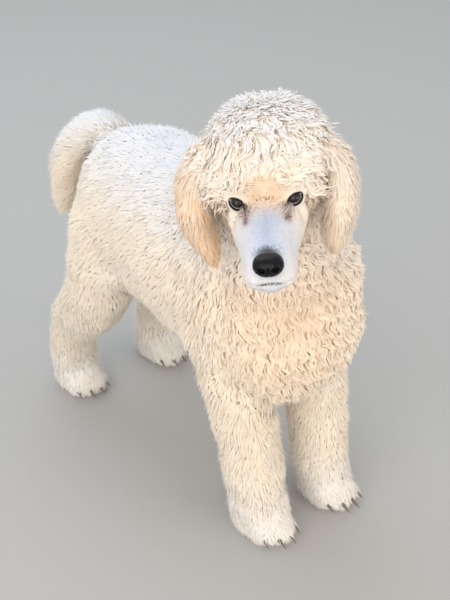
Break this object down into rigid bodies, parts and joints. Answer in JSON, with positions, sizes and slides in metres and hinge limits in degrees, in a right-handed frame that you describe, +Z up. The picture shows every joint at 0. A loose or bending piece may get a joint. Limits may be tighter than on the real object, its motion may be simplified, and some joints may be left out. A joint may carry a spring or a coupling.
{
  "type": "standard poodle puppy museum model",
  "caption": "Life-size standing poodle puppy with a fluffy cream coat, clipped muzzle, hanging ears and a curved tail, its head turned to its right.",
  "frame": {"origin": "on the floor, under the middle of the whole model's box", "axes": "+Z up; the trunk faces -Y and the puppy's left side is +X; the head is turned 38 degrees to the puppy's right"},
  "size_m": [0.285, 0.6128, 0.5622],
  "materials": {
    "coat": "soft curly cream coat",
    "head_coat": "clipped white muzzle under a wavy cream topknot",
    "ear_coat": "soft apricot ear fringe",
    "eye": "wet dark brown",
    "nose_leather": "damp pebbled black",
    "claw": "smooth horn"
  },
  "bodies": {
    "root": {"trunk": "coat", "neck": "coat", "tail": "coat", "foreleg_left": "coat", "foreleg_right": "coat", "fore_paw_left": "coat", "fore_paw_right": "coat", "thigh_left": "coat", "thigh_right": "coat", "shank_left": "coat", "shank_right": "coat", "hind_paw_left": "coat", "hind_paw_right": "coat", "head": "head_coat", "ear_left": "ear_coat", "ear_right": "ear_coat", "eye_left": "eye", "eye_right": "eye", "nose": "nose_leather", "claw_fore_left_1": "claw", "claw_fore_left_2": "claw", "claw_fore_left_3": "claw", "claw_fore_left_4": "claw", "claw_fore_right_1": "claw", "claw_fore_right_2": "claw", "claw_fore_right_3": "claw", "claw_fore_right_4": "claw", "claw_hind_left_1": "claw", "claw_hind_left_2": "claw", "claw_hind_left_3": "claw", "claw_hind_left_4": "claw", "claw_hind_right_1": "claw", "claw_hind_right_2": "claw", "claw_hind_right_3": "claw", "claw_hind_right_4": "claw"}
  },
  "joints": []
}
